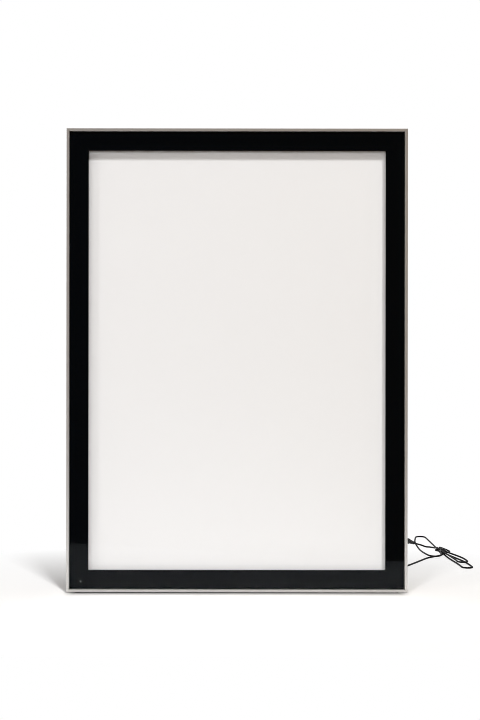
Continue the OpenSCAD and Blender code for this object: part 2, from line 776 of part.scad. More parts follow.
module touch_board_pads() {
    pad_x = touch_board_l / 2 - touch_pad_l / 2;
    color("dimgray") for (x = [touch_board_x - pad_x, touch_board_x + pad_x])
        block(x - touch_pad_l / 2, x + touch_pad_l / 2, seat_v + wall, touch_board_v,
            touch_board_z - touch_pad_h / 2, touch_board_z + touch_pad_h / 2);
}

module touch_electrode() {
    color("goldenrod") translate([touch_x, 0, touch_z]) difference() {
        depth_bar(touch_ring_d, touch_front_v, touch_board_v);
        depth_bar(touch_pipe_d + 2 * touch_fit, touch_front_v - bore_extra, touch_board_v + bore_extra);
    }
}

module touch_light_pipe() {
    color("gray") translate([touch_x, 0, touch_z]) depth_bar(touch_pipe_d, touch_front_v, touch_board_v);
}

module supply_wire() { color("black") tube(smooth_path(supply_route, wire_steps), wire_d, cord_sides); }
module led_wire_left() { color("red") tube(smooth_path(left_route, wire_steps), wire_d, cord_sides); }
module led_wire_right() { color("red") tube(smooth_path(right_route, wire_steps), wire_d, cord_sides); }

// The clear pane, with its front edges bevelled
module cover_pane() {
    color("lightblue", 0.4) difference() {
        block(cover_u - outer_w / 2, outer_w / 2 - cover_u, cover_recess, print_v,
            cover_u, outer_h - cover_u);
        for (side = SIDES) on_side(side)
            translate([0, y_at(cover_recess), cover_u]) rotate([45, 0, 0])
                cube([side_length(side), sqrt(2) * pane_bevel, sqrt(2) * pane_bevel], center = true);
    }
}

// The black print on the back of the pane, open over the poster and at the touch light
module cover_border() {
    color("black") difference() {
        block(cover_u - outer_w / 2, outer_w / 2 - cover_u, print_v, strip_v, cover_u, outer_h - cover_u);
        block(window_u - outer_w / 2, outer_w / 2 - window_u, print_v - bore_extra, strip_v + bore_extra,
            window_u, outer_h - window_u);
        translate([touch_x, 0, touch_z]) depth_bar(touch_dot_d, print_v - bore_extra, strip_v + bore_extra);
    }
}

module cover_strip(side) {
    reach = side_length(side) / 2 - strip_end;
    color("slategray") on_side(side)
        block(-reach, reach, strip_v, strip_v + strip_t, seat_mid_u - strip_w / 2, seat_mid_u + strip_w / 2);
}

module cover_strip_top() { cover_strip("top"); }
module cover_strip_bottom() { cover_strip("bottom"); }
module cover_strip_left() { cover_strip("left"); }
module cover_strip_right() { cover_strip("right"); }

// The strain relief: a shank through the rear wall, a flange and a grooved tail that tapers
module cord_gland() {
    bore_r = cord_d / 2 + gland_fit;
    tip_wall = 0.7;
    groove_wall = tip_wall - 0.1;
    tip_r = bore_r + tip_wall;
    root_r = gland_d / 2 + gland_fit;
    shank = depth - gland_inner_v;
    grooves = 4;
    groove_w = 1.2;
    color("black") translate([gland_x, rear_y, tube_mid_u]) rotate([-90, 0, 0]) difference() {
        rotate_extrude() polygon([
            [bore_r, -shank], [gland_d / 2, -shank], [gland_d / 2, 0], [gland_flange_d / 2, 0],
            [gland_flange_d / 2, gland_flange_t], [root_r, gland_flange_t],
            [tip_r, gland_flange_t + gland_tail], [bore_r, gland_flange_t + gland_tail]
        ]);
        for (i = [1 : grooves])
            translate([0, 0, gland_flange_t + i * gland_tail / (grooves + 1)]) rotate_extrude()
                translate([bore_r + groove_wall, -groove_w / 2]) square([root_r, groove_w]);
    }
}

module gland_nut() {
    color("black") translate([gland_x, y_at(lip_v), tube_mid_u]) rotate([90, 0, 0]) difference() {
        cylinder(d = nut_d, h = nut_t, $fn = 6);
        translate([0, 0, -bore_extra]) cylinder(d = gland_d + 2 * gland_fit, h = nut_t + 2 * bore_extra);
    }
}

module cord_lead() { color("black") tube(smooth_path(lead_route, lead_steps), cord_d, cord_sides); }

module cord_hank() {
    echo(hank_gap = hank_gap);
    color("black") tube(hank_path, cord_d, hank_sides);
}

module cord_tail() { color("black") tube(smooth_path(tail_route, tail_steps), cord_d, cord_sides); }

// A rectangle with round corners, standing on its lower edge
module round_rect(w, h, r) {
    translate([-w / 2 + r, 0]) square([w - 2 * r, h]);
    translate([-w / 2, r]) square([w, h - 2 * r]);
    for (x = [-w / 2 + r, w / 2 - r])
        for (z = [r, h - r])
            translate([x, z]) circle(r = r);
}

// The tie: a band round the hank's waist, with its two ends turned forward
module cord_tie() {
    inner_w = (waist_columns - 1) * strand_step + cord_d + 2 * tie_fit;
    inner_h = (waist_rows - 1) * layer_h + cord_d + 2 * tie_fit;
    end_l = 9;
    end_tilts = [[80, 0, -16], [84, 0, 14]];
    color("black") translate([tie_x, tie_y, floor_gap]) {
        rotate([90, 0, 0]) linear_extrude(tie_w, center = true) difference() {
            round_rect(inner_w + 2 * tie_t, inner_h + 2 * tie_t, cord_d / 2);
            translate([0, tie_t]) round_rect(inner_w, inner_h, cord_d / 4);
        }
        for (tilt = end_tilts)
            translate([0, 0, inner_h + 2 * tie_t]) rotate(tilt) cylinder(d = 2 * tie_t, h = end_l);
    }
}

// Puts what is drawn along Z on the plug's line
module on_plug() {
    translate(boot_start) rotate([0, 0, plug_turn]) rotate([-90, 0, 0]) children();
}

// The plug's moulded body with its ribbed, tapered boot
module plug_body() {
    bore_r = cord_d / 2 + gland_fit;
    start_r = cord_d / 2 + boot_wall;
    neck_step = 1.4;
    neck_r = plug_d / 2 - neck_step;
    round_r = 1.2;
    full_l = boot_l + plug_l;
    rib_w = boot_l / (2 * boot_ribs + 1);
    color("black") on_plug() difference() {
        union() {
            rotate_extrude() polygon([[0, 0], [start_r, 0], [neck_r, boot_l], [0, boot_l]]);
            for (i = [1 : boot_ribs])
                let (s = (2 * i - 1) * rib_w, r = mix(start_r, neck_r, s / boot_l) + boot_rib)
                translate([0, 0, s]) cylinder(r = r, h = rib_w);
            translate([0, 0, boot_l]) cylinder(d = plug_d, h = plug_l - round_r);
            translate([0, 0, full_l - round_r]) cylinder(d = plug_d - 2 * round_r, h = round_r);
            translate([0, 0, full_l - round_r]) rotate_extrude()
                translate([plug_d / 2 - round_r, 0]) intersection() {
                    circle(r = round_r);
                    square(round_r);
                }
        }
        translate([0, 0, -bore_extra]) cylinder(r = bore_r, h = boot_bore_l + bore_extra + gland_fit);
        translate([0, 0, full_l - barrel_root])
            cylinder(d = root_d + 2 * plug_fit, h = barrel_root + bore_extra);
    }
}

// The barrel: a narrower root in the body and a free end, open for the insulator
module plug_barrel() {
    color("silver") on_plug() translate([0, 0, boot_l + plug_l]) difference() {
        union() {
            cylinder(d = barrel_d, h = barrel_l);
            translate([0, 0, -barrel_root]) cylinder(d = root_d, h = barrel_root);
        }
        translate([0, 0, -barrel_root - bore_extra])
            cylinder(d = insulator_d + 2 * plug_fit, h = barrel_root + barrel_l + 2 * bore_extra);
    }
}

// The insulator, with the hole for the socket's pin
module plug_insulator() {
    floor_t = 3;
    color("dimgray") on_plug() translate([0, 0, boot_l + plug_l - barrel_root]) difference() {
        cylinder(d = insulator_d, h = barrel_root + barrel_l);
        translate([0, 0, floor_t]) cylinder(d = barrel_pin_d, h = barrel_root + barrel_l);
    }
}

raised() frame_top();
raised() frame_bottom();
raised() frame_left();
raised() frame_right();
raised() corner_key_top_left();
raised() corner_key_top_right();
raised() corner_key_bottom_left();
raised() corner_key_bottom_right();
raised() corner_screws();
raised() frame_magnets();
raised() foot_strip();
raised() diffuser_panel();
raised() light_guide_plate();
raised() reflector_sheet();
raised() back_panel();
raised() back_foam();
raised() sheet_pads();
raised() led_board_left();
raised() led_board_right();
raised() led_chips_left();
raised() led_chips_right();
raised() touch_board();
raised() touch_board_pads();
raised() touch_electrode();
raised() touch_light_pipe();
raised() supply_wire();
raised() led_wire_left();
raised() led_wire_right();
raised() cover_pane();
raised() cover_border();
raised() cover_strip_top();
raised() cover_strip_bottom();
raised() cover_strip_left();
raised() cover_strip_right();
raised() cord_gland();
raised() gland_nut();
cord_lead();
cord_hank();
cord_tail();
cord_tie();
plug_body();
plug_barrel();
plug_insulator();
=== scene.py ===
import math

import bpy
import numpy as np
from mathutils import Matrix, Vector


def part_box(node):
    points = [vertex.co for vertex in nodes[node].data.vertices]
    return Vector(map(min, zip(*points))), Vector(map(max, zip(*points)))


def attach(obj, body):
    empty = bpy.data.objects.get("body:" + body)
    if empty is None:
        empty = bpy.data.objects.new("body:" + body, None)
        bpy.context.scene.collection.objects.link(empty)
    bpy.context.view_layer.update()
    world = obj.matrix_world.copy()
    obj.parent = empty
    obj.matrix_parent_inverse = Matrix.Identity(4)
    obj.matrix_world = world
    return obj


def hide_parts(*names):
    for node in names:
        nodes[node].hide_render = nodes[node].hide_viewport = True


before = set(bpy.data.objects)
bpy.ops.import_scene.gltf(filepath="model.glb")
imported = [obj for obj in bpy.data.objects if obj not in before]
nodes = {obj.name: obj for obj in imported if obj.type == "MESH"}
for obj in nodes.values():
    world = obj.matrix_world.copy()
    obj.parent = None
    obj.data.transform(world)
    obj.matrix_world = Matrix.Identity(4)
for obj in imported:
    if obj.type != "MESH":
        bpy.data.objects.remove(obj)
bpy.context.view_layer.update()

scene = bpy.context.scene
print("frame loaded:", len(nodes), "nodes")

white = (1.0, 1.0, 1.0, 1.0)


# a shader value: Python sums on it add Math nodes, and node() adds any other kind
class Wire:
    def __init__(self, socket):
        self.socket = socket

    @staticmethod
    def node(tree, kind, settings=None, inputs=None, out=0):
        made = tree.nodes.new(kind)
        for key, value in (settings or {}).items():
            setattr(made, key, value)
        for key, value in (inputs or {}).items():
            if isinstance(value, Wire):
                tree.links.new(value.socket, made.inputs[key])
            else:
                made.inputs[key].default_value = value
        return Wire(made.outputs[out])

    def maths(self, operation, first, second):
        tree = self.socket.id_data
        return Wire.node(tree, "ShaderNodeMath", {"operation": operation}, {0: first, 1: second})

    def __add__(self, other):
        return self.maths("ADD", self, other)

    def __radd__(self, other):
        return self.maths("ADD", other, self)

    def __sub__(self, other):
        return self.maths("SUBTRACT", self, other)

    def __rsub__(self, other):
        return self.maths("SUBTRACT", other, self)

    def __mul__(self, other):
        return self.maths("MULTIPLY", self, other)

    def __rmul__(self, other):
        return self.maths("MULTIPLY", other, self)

    def feed(self, target):
        self.socket.id_data.links.new(self.socket, target)


# an empty material with its output's surface socket
def bareMaterial(name):
    material = bpy.data.materials.new(name)
    material.use_nodes = True
    tree = material.node_tree
    tree.nodes.clear()
    output = tree.nodes.new("ShaderNodeOutputMaterial")
    return material, tree, output.inputs["Surface"]


# a Principled material whose constants are set on its own sockets
def principled(name, **constants):
    material, tree, surface = bareMaterial(name)
    shader = tree.nodes.new("ShaderNodeBsdfPrincipled")
    for key, value in constants.items():
        shader.inputs[key.replace("_", " ")].default_value = value
    tree.links.new(shader.outputs[0], surface)
    return material, tree, shader


# the place of a point in its piece
def objectPlace(tree):
    return Wire.node(tree, "ShaderNodeTexCoord", out="Object")


# noise on Object coordinates stretched by three scales
def noiseOn(tree, scales, detail):
    stretched = Wire.node(tree, "ShaderNodeMapping", {}, {"Vector": objectPlace(tree), "Scale": scales})
    return Wire.node(tree, "ShaderNodeTexNoise", {},
                     {"Vector": stretched, "Scale": 1.0, "Detail": detail}, "Fac")


# a mix of two colours by a factor: the Mix node's colours are its inputs 6 and 7, and its output 2
def colourMix(tree, factor, low, high):
    return Wire.node(tree, "ShaderNodeMix", {"data_type": "RGBA"}, {0: factor, 6: low, 7: high}, 2)


# a mix of two shaders by a factor
def shaderMix(tree, factor, first, second):
    return Wire.node(tree, "ShaderNodeMixShader", {}, {0: factor, 1: first, 2: second})


# a normal tilted by the slope of a height
def bump(tree, height, strength, distance):
    return Wire.node(tree, "ShaderNodeBump", {},
                     {"Strength": strength, "Distance": distance, "Height": height}, "Normal")


anodised = {
    "light": (0.862, 0.860, 0.850, 1.0),
    "dark": (0.822, 0.820, 0.810, 1.0),
    "metallic": 0.79,       # the oxide layer scatters the rest
    "lineScale": 900.0,     # extrusion lines a metre, across the profile
    "alongScale": 3.0,
    "blotchScale": 9.0,
    "detail": 2.0,
    "roughness": 0.50,
    "lineSpread": 0.05,     # what the lines and the blotches add to the roughness
    "blotchSpread": 0.05,
    "lineBump": 0.15,
    "lineDepth": 0.00002,
    # the axis that each finish is drawn along, 0 for X and 2 for Z, and its profiles
    "drawn": {
        "anodised_across": {"axis": 0, "on": ("frame_top", "frame_bottom")},
        "anodised_upright": {"axis": 2, "on": ("frame_left", "frame_right")},
    },
}


# satin aluminium: noise drawn out along an axis mixes its two colours, and its roughness is a base plus a
# share of the lines and a share of wide blotches
def anodisedAluminium(name, axis):
    scales = [anodised["lineScale"]] * 3
    scales[axis] = anodised["alongScale"]
    material, tree, shader = principled(name, Metallic=anodised["metallic"])
    lines = noiseOn(tree, scales, anodised["detail"])
    blotch = noiseOn(tree, [anodised["blotchScale"]] * 3, anodised["detail"])
    roughness = anodised["roughness"] + anodised["lineSpread"] * lines + anodised["blotchSpread"] * blotch
    colourMix(tree, lines, anodised["dark"], anodised["light"]).feed(shader.inputs["Base Color"])
    roughness.feed(shader.inputs["Roughness"])
    bump(tree, lines, anodised["lineBump"], anodised["lineDepth"]).feed(shader.inputs["Normal"])
    return material


grainLook = {
    "detail": 3.0,
    "bump": 0.4,
    "metallic": 0.0,        # for a finish that doesn't say its own
    "shine": 0.5,
}


# a plain finish: a noise grain mixes its two colours, adds up to the spread to its roughness, and bumps it
def grained(name, look):
    metallic = look.get("metallic", grainLook["metallic"])
    shine = look.get("shine", grainLook["shine"])
    material, tree, shader = principled(name, Metallic=metallic, Specular_IOR_Level=shine)
    grain = noiseOn(tree, [look["scale"]] * 3, grainLook["detail"])
    colourMix(tree, grain, (*look["low"], 1.0), (*look["high"], 1.0)).feed(shader.inputs["Base Color"])
    (look["roughness"] + look["spread"] * grain).feed(shader.inputs["Roughness"])
    bump(tree, grain, grainLook["bump"], look["depth"]).feed(shader.inputs["Normal"])
    return material


# walls and caps of a grid of points, rows by columns, with its columns closed: a ring's rows are closed too,
# and any other grid has a flat cap at both ends
def gridFaces(points, ring, first):
    rows, columns = points.shape[:2]
    index = first + np.arange(rows * columns).reshape(rows, columns)
    caps = [] if ring else [index[0][::-1].tolist(), index[-1].tolist()]
    if ring:
        index = np.concatenate([index, index[:1]])
    nextColumn = np.roll(index, -1, axis=1)
    walls = np.stack([index[:-1], nextColumn[:-1], nextColumn[1:], index[1:]], axis=-1)
    return walls.reshape(-1, 4).tolist(), caps


# a piece made of closed grids, each given with whether it is a ring
def closedGrids(name, grids, body, material, smooth=True):
    walls, caps, first = [], [], 0
    for points, ring in grids:
        newWalls, newCaps = gridFaces(points, ring, first)
        walls += newWalls
        caps += newCaps
        first += points.shape[0] * points.shape[1]
    mesh = bpy.data.meshes.new(name)
    mesh.from_pydata(np.concatenate([g.reshape(-1, 3) for g, ring in grids]).tolist(), [], walls + caps)
    mesh.polygons.foreach_set("use_smooth", [smooth] * len(walls) + [False] * len(caps))
    mesh.materials.append(material)
    mesh.validate()
    piece = bpy.data.objects.new(name, mesh)
    scene.collection.objects.link(piece)
    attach(piece, body)
    return piece


# the outline of a rectangle in X and Z: a quarter circle about each corner's centre, anticlockwise seen from
# the front
def roundedOutline(low, high, radius, arcPoints=5):
    turn = np.linspace(0, math.pi / 2, arcPoints)
    corners = ((high[0], high[1]), (low[0], high[1]), (low[0], low[1]), (high[0], low[1]))
    arcs = []
    for k, (x, z) in enumerate(corners):
        angle = turn + k * math.pi / 2
        centreX = x - radius * np.sign(x - (low[0] + high[0]) / 2)
        centreZ = z - radius * np.sign(z - (low[1] + high[1]) / 2)
        arcs.append(np.stack([centreX + radius * np.cos(angle), centreZ + radius * np.sin(angle)], axis=-1))
    return np.concatenate(arcs)


pane = {
    "index": 1.25,          # a low index: the photographed pane mirrors little
    "tint": (0.985, 0.99, 0.99, 1.0),
    "polish": 0.015,        # roughness of its gloss
    "bevel": 0.0005,
    "corner": 0.0006,
    "gap": 0.00003,         # air between the pane's back and the print
}


# clear sheet: see-through, with a mirror gloss that grows towards the edge-on view by the Fresnel share.
# Light isn't bent in it, so only its outer sides mirror
def clearSheet():
    material, tree, surface = bareMaterial("clear_pane")
    through = Wire.node(tree, "ShaderNodeBsdfTransparent", {}, {"Color": pane["tint"]})
    gloss = Wire.node(tree, "ShaderNodeBsdfGlossy", {}, {"Color": white, "Roughness": pane["polish"]})
    share = Wire.node(tree, "ShaderNodeFresnel", {}, {"IOR": pane["index"]})
    inside = Wire.node(tree, "ShaderNodeNewGeometry", out="Backfacing")
    shaderMix(tree, share * (1 - inside), through, gloss).feed(surface)
    return material


# the pane: its outline carried through its thickness, drawn in by a bevel at the front edge
def buildPane():
    low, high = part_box("cover_pane")
    back = high.y - pane["gap"]
    rows = ((back, 0.0), (low.y + pane["bevel"], 0.0), (low.y, pane["bevel"]))
    loops = []
    for y, inset in rows:
        lowCorner = (low.x + inset, low.z + inset)
        highCorner = (high.x - inset, high.z - inset)
        outline = roundedOutline(lowCorner, highCorner, pane["corner"])
        loops.append(np.stack([outline[:, 0], np.full(len(outline), y), outline[:, 1]], axis=-1))
    piece = closedGrids("pane_clear", [(np.array(loops), False)], "cover", clearSheet(), smooth=False)
    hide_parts("cover_pane")
    print("pane made")


buildPane()


cord = {
    "diameter": 0.0032,
    "sides": 12,
    "stretchSteps": 9,      # points on each stretch of the given routes
    "loopSteps": 60,        # points on each half loop of the hank
    "floorGap": 0.00005,
    "layerGap": 0.0006,
    "strandGap": 0.0007,
    "foldDiameters": 3,     # radius of a half loop's end
    "tie": (0.401, 0.338),  # where it is tied, in X and Y
    "tieThick": 0.0008,
    "tieFit": 0.00015,
    "tieStill": 0.003,      # half length of the straight stretch inside the tie, for a half loop
    "tieRun": 0.006,        # and for the long rear loop
    "liftReach": 0.060,     # distances from the tie over which its lift and a loop's sink are eased
    "sinkReach": 0.129,
    # places in the waist, in strands and layers: the lead's, and those of the half loops' ends
    "leadStep": -0.5,
    "leadLayer": 0,
    "waistSteps": (-0.5, 0.5, 0.5, 0.5, -0.5),
    "waistLayers": (1, 1, 0, 2, 2),
    # each half loop's reach, way of turning, middle of its end, belly on its way out, the shares of it
    # between which it changes layer, and the layers that it sinks by
    "halfLoops": (
        {"reach": 0.032, "way": 1, "middle": 0.0, "belly": 0.0, "climb": (0.0, 1.0), "sink": 0},
        {"reach": -0.139, "way": 1, "middle": 0.021, "belly": 0.004, "climb": (0.0, 0.3), "sink": 0},
        {"reach": 0.042, "way": -1, "middle": 0.010, "belly": 0.0, "climb": (0.3, 0.7), "sink": 0},
        {"reach": -0.105, "way": 1, "middle": 0.019, "belly": 0.003, "climb": (0.0, 1.0), "sink": 1},
    ),
    "runShare": 0.3,        # share of a half loop's points on each of its runs
    "bootStart": (0.363, 0.447, 0.0056),
    "bootBore": 0.008,
    "plugTurn": math.radians(18.0),
    "sheath": {
        "low": (0.0015, 0.0015, 0.002), "high": (0.004, 0.004, 0.0045),
        "roughness": 0.50, "spread": 0.16, "scale": 700.0, "depth": 0.00003, "shine": 0.15,
    },
}
cord["step"] = cord["diameter"] + cord["strandGap"]
cord["layer"] = cord["diameter"] + cord["layerGap"]
cord["lift"] = cord["tieThick"] + cord["tieFit"] + cord["floorGap"]
cord["floor"] = cord["diameter"] / 2 + cord["floorGap"]
cord["fold"] = cord["foldDiameters"] * cord["diameter"]


# a rise from 0 to 1 that starts and ends level: 3 k squared less 2 k cubed
def ease(k):
    k = np.clip(k, 0, 1)
    return k * k * (3 - 2 * k)


# the height of a strand's middle on the floor, counted in layers
def level(layer):
    return cord["floor"] + cord["layer"] * layer


# a point of the waist, counted in strands and layers, and lifted by the tie under it
def waistPoint(step, layer):
    height = cord["diameter"] / 2 + cord["layer"] * layer + cord["lift"]
    return np.array([cord["tie"][0] + step * cord["step"], cord["tie"][1], height])


# points of half loop j: out along a run, round the end as a half circle, and back along the other run. A run
# is eased from its place in the waist to the half circle's end
def halfLoop(j, k):
    loop = cord["halfLoops"][j]
    share = cord["runShare"]
    side = math.copysign(1.0, loop["reach"])
    half = side * loop["way"] * cord["fold"]
    run = abs(loop["reach"]) - cord["fold"]
    still = cord["tieStill"] / run

    def runAcross(step, end, bent):
        start = step * cord["step"]
        return start + (end - start) * ease(bent)

    outK = np.clip(k / share, 0, 1)
    backK = np.clip((1 - k) / share, 0, 1)
    outBent = np.clip((outK - still) / (1 - still), 0, 1)
    backBent = np.clip((backK - still) / (1 - still), 0, 1)
    turn = math.pi * np.clip((k - share) / (1 - 2 * share), 0, 1)
    belly = loop["belly"] * np.sin(math.pi * outBent) ** 2
    outX = runAcross(cord["waistSteps"][j], loop["middle"] - half, outBent) + belly
    backX = runAcross(cord["waistSteps"][j + 1], loop["middle"] + half, backBent)
    endX = loop["middle"] - half * np.cos(turn)
    endAlong = run + cord["fold"] * np.sin(turn)
    x = np.where(k < share, outX, np.where(k > 1 - share, backX, endX))
    along = np.where(k < share, run * outK, np.where(k > 1 - share, run * backK, endAlong))
    first, last = cord["waistLayers"][j:j + 2]
    climbFrom, climbTo = loop["climb"]
    layer = first + (last - first) * ease((k - climbFrom) / (climbTo - climbFrom))
    layer = layer - loop["sink"] * ease(along / cord["sinkReach"])
    lift = cord["lift"] * (1 - ease(along / cord["liftReach"]))
    height = cord["diameter"] / 2 + cord["layer"] * layer + lift
    return np.stack([cord["tie"][0] + x, cord["tie"][1] + side * along, height], axis=-1)


# a smooth line through given points: cubic stretches, each point heading midway between its neighbours,
# pulled by its shorter stretch, with the first and the last stretch straight
def smoothLine(points, steps):
    p = np.asarray(points, float)
    gaps = np.diff(p, axis=0)
    lengths = np.linalg.norm(gaps, axis=1)
    units = gaps / lengths[:, None]
    heading = np.concatenate([units[:1], units[:-1] + units[1:], units[-1:]])
    heading[1] = units[0]
    heading[-2] = units[-1]
    heading /= np.linalg.norm(heading, axis=1)[:, None]
    pull = np.concatenate([lengths[:1], np.minimum(lengths[:-1], lengths[1:]), lengths[-1:]])
    pull = heading * pull[:, None]
    k = (np.arange(steps) / steps)[None, :, None]
    line = (p[:-1, None] * (1 + 2 * k) * (1 - k) ** 2 + pull[:-1, None] * k * (1 - k) ** 2
            + p[1:, None] * k ** 2 * (3 - 2 * k) + pull[1:, None] * k ** 2 * (k - 1))
    return np.concatenate([line.reshape(-1, 3), p[-1:]])


# rings round a line that never stands upright: sideways and upward units from its heading, times the cosine
# and the sine of each side's angle
def tubeRings(line, radius, sides):
    heading = np.gradient(line, axis=0)
    heading /= np.linalg.norm(heading, axis=1)[:, None]
    sideways = np.cross(heading, (0.0, 0.0, 1.0))
    sideways /= np.linalg.norm(sideways, axis=1)[:, None]
    upward = np.cross(sideways, heading)
    angle = np.linspace(0, -2 * math.pi, sides, endpoint=False)[None, :, None]
    ring = sideways[:, None] * np.cos(angle) + upward[:, None] * np.sin(angle)
    return line[:, None] + radius * ring


# the long rear loop: from the lead back through the tie, round, and past the tie's left to its front
def rearLoop():
    straight = np.array([0.0, cord["tieRun"], 0.0])
    leadIn = waistPoint(cord["leadStep"], cord["leadLayer"])
    loopIn = waistPoint(cord["waistSteps"][0], cord["waistLayers"][0])
    floor = cord["floor"]
    return [
        leadIn, leadIn + straight,
        (0.400, 0.362, level(0.1)), (0.4015, 0.395, floor), (0.402, 0.440, floor), (0.402, 0.490, floor),
        (0.402, 0.530, floor), (0.4015, 0.546, floor), (0.3985, 0.553, floor), (0.3918, 0.556, floor),
        (0.385, 0.553, floor), (0.381, 0.544, floor), (0.3765, 0.522, floor), (0.3715, 0.494, floor),
        (0.368, 0.460, floor), (0.366, 0.425, floor), (0.365, 0.395, floor), (0.3648, 0.365, level(0.3)),
        (0.365, 0.340, level(0.7)), (0.366, 0.319, level(1)), (0.369, 0.3055, level(1)),
        (0.3755, 0.2975, level(1)), (0.3835, 0.297, level(1)), (0.390, 0.3035, level(1)),
        (0.395, 0.314, level(1.1)), (0.398, 0.324, level(1.2)),
        loopIn - straight, loopIn,
    ]


# the whole cord as one line: lead, hank and loose end
def cordLine():
    glandLow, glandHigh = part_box("cord_gland")
    glandX = (glandLow.x + glandHigh.x) / 2
    glandZ = (glandLow.z + glandHigh.z) / 2
    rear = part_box("frame_bottom")[1].y
    floor = cord["floor"]
    straight = np.array([0.0, cord["diameter"], 0.0])
    steps = cord["stretchSteps"]
    half = np.linspace(0, 1, cord["loopSteps"], endpoint=False)
    loops = [halfLoop(j, half) for j in range(len(cord["halfLoops"]))]
    rearLine = smoothLine(rearLoop(), steps)
    hankStart = rearLine[0] - straight
    hankEnd = halfLoop(len(loops) - 1, np.array([1.0]))[0]
    lead = [
        (glandX, glandLow.y, glandZ), (glandX, rear, glandZ), (glandX, glandHigh.y, glandZ),
        (0.1915, 0.040, 0.0118), (0.197, 0.048, 0.010), (0.207, 0.058, 0.0066), (0.222, 0.078, 0.0032),
        (0.236, 0.098, 0.0019), (0.252, 0.122, floor), (0.268, 0.147, floor), (0.284, 0.172, floor),
        (0.300, 0.197, floor), (0.316, 0.222, floor), (0.332, 0.247, floor), (0.348, 0.273, floor),
        (0.364, 0.298, floor), (0.375, 0.3095, floor), (0.386, 0.3175, level(0.1)),
        (0.394, 0.3235, level(0.2)),
        hankStart - straight, hankStart,
    ]
    heading = np.array([-math.sin(cord["plugTurn"]), math.cos(cord["plugTurn"]), 0.0])
    boot = np.array(cord["bootStart"])
    tail = [
        hankEnd + straight, hankEnd + 2 * straight,
        (0.3968, 0.355, level(2.2)), (0.396, 0.369, level(2.1)), (0.3965, 0.385, level(1.4)),
        (0.3973, 0.402, level(0.5)), (0.3955, 0.415, level(0.1)), (0.3895, 0.421, level(0.1)),
        (0.382, 0.4205, level(0.3)), (0.374, 0.424, level(0.95)),
        boot - cord["diameter"] * heading, boot, boot + cord["bootBore"] * heading,
    ]
    leadLine = smoothLine(lead, steps)
    tailLine = smoothLine(tail, steps)
    return np.concatenate([leadLine, rearLine[:-1], *loops, [hankEnd], tailLine])


tie = {
    "rows": 3,              # strands that it holds, upwards and sideways
    "columns": 2,
    "width": 0.005,
    "corner": 0.0012,       # radius of the band's middle line
    "ribHalf": 0.0007,      # half width of the rib over its wire
    "wing": 0.55,           # thickness of the wings, as a share of the rib's
    "edgePower": 8,         # how late the section rounds off towards its edges
    "sectionPoints": 13,
    "endLength": 0.009,
    "endHalf": (0.0008, 0.00045),               # half width and half thickness of a twisted end
    "endTurns": 1.6,
    "endRows": 36,
    "endSides": 12,
    "endWays": ((80.0, -16.0), (84.0, 14.0)),   # lean forward and turn, in degrees
    "vinyl": {
        "low": (0.020, 0.020, 0.021), "high": (0.045, 0.045, 0.046),
        "roughness": 0.40, "spread": 0.14, "scale": 1200.0, "depth": 0.00004,
    },
}


# the band: its section, a bell-shaped rib on thin wings with round edges, carried round the waist's outline
def tieBand(top):
    strands = (tie["columns"] - 1) * cord["step"] + cord["diameter"]
    halfWidth = (strands + cord["tieThick"]) / 2 + cord["tieFit"]
    low = np.array([cord["tie"][0] - halfWidth, cord["floorGap"] + cord["tieThick"] / 2])
    high = np.array([cord["tie"][0] + halfWidth, top - cord["tieThick"] / 2])
    across = np.linspace(1, -1, tie["sectionPoints"])
    rib = np.exp(-(across * tie["width"] / 2 / tie["ribHalf"]) ** 2)
    edge = np.sqrt(1 - across ** tie["edgePower"])
    half = cord["tieThick"] / 2 * (tie["wing"] + (1 - tie["wing"]) * rib) * edge
    across = np.concatenate([across, across[-2:0:-1]])
    rise = np.concatenate([half, -half[-2:0:-1]])
    loops = []
    for share, height in zip(across, rise):
        outline = roundedOutline(low - height, high + height, tie["corner"] + height)
        y = np.full(len(outline), cord["tie"][1] + share * tie["width"] / 2)
        loops.append(np.stack([outline[:, 0], y, outline[:, 1]], axis=-1))
    return np.array(loops)


# a twisted end: a flat oval section carried along a straight line while it turns about it
def tieEnd(top, lean, turn):
    lean, turn = np.radians((lean, turn))
    heading = np.array([math.sin(lean) * math.sin(turn), -math.sin(lean) * math.cos(turn), math.cos(lean)])
    sideways = np.cross(heading, (0.0, 0.0, 1.0))
    sideways /= np.linalg.norm(sideways)
    upward = np.cross(sideways, heading)
    along = np.linspace(0, 1, tie["endRows"])[:, None]
    twist = 2 * math.pi * tie["endTurns"] * along
    angle = np.linspace(0, -2 * math.pi, tie["endSides"], endpoint=False)[None, :]
    wide = tie["endHalf"][0] * np.cos(angle)
    thick = tie["endHalf"][1] * np.sin(angle)
    out = wide * np.cos(twist) - thick * np.sin(twist)
    up = wide * np.sin(twist) + thick * np.cos(twist)
    start = np.array([*cord["tie"], top])
    line = start + tie["endLength"] * along * heading
    return line[:, None] + out[..., None] * sideways + up[..., None] * upward


# the twist tie: a band with two twisted ends
def buildTie():
    layers = (tie["rows"] - 1) * cord["layer"]
    top = cord["floorGap"] + layers + cord["diameter"] + 2 * cord["tieFit"] + 2 * cord["tieThick"]
    grids = [(tieBand(top), True)] + [(tieEnd(top, *way), False) for way in tie["endWays"]]
    piece = closedGrids("tie_twist", grids, "frame", grained("tie_vinyl", tie["vinyl"]))
    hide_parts("cord_tie")
    print("tie made")
    return piece


# the cord: a tube of rings round its line, in a black satin sheath
def buildCord():
    line = cordLine()
    rings = tubeRings(line, cord["diameter"] / 2, cord["sides"])
    piece = closedGrids("cord_black", [(rings, False)], "frame", grained("cord_sheath", cord["sheath"]))
    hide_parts("cord_lead", "cord_hank", "cord_tail")
    held = [nodes[n] for n in ("cord_gland", "plug_body", "plug_barrel", "plug_insulator")] + [buildTie()]


buildCord()


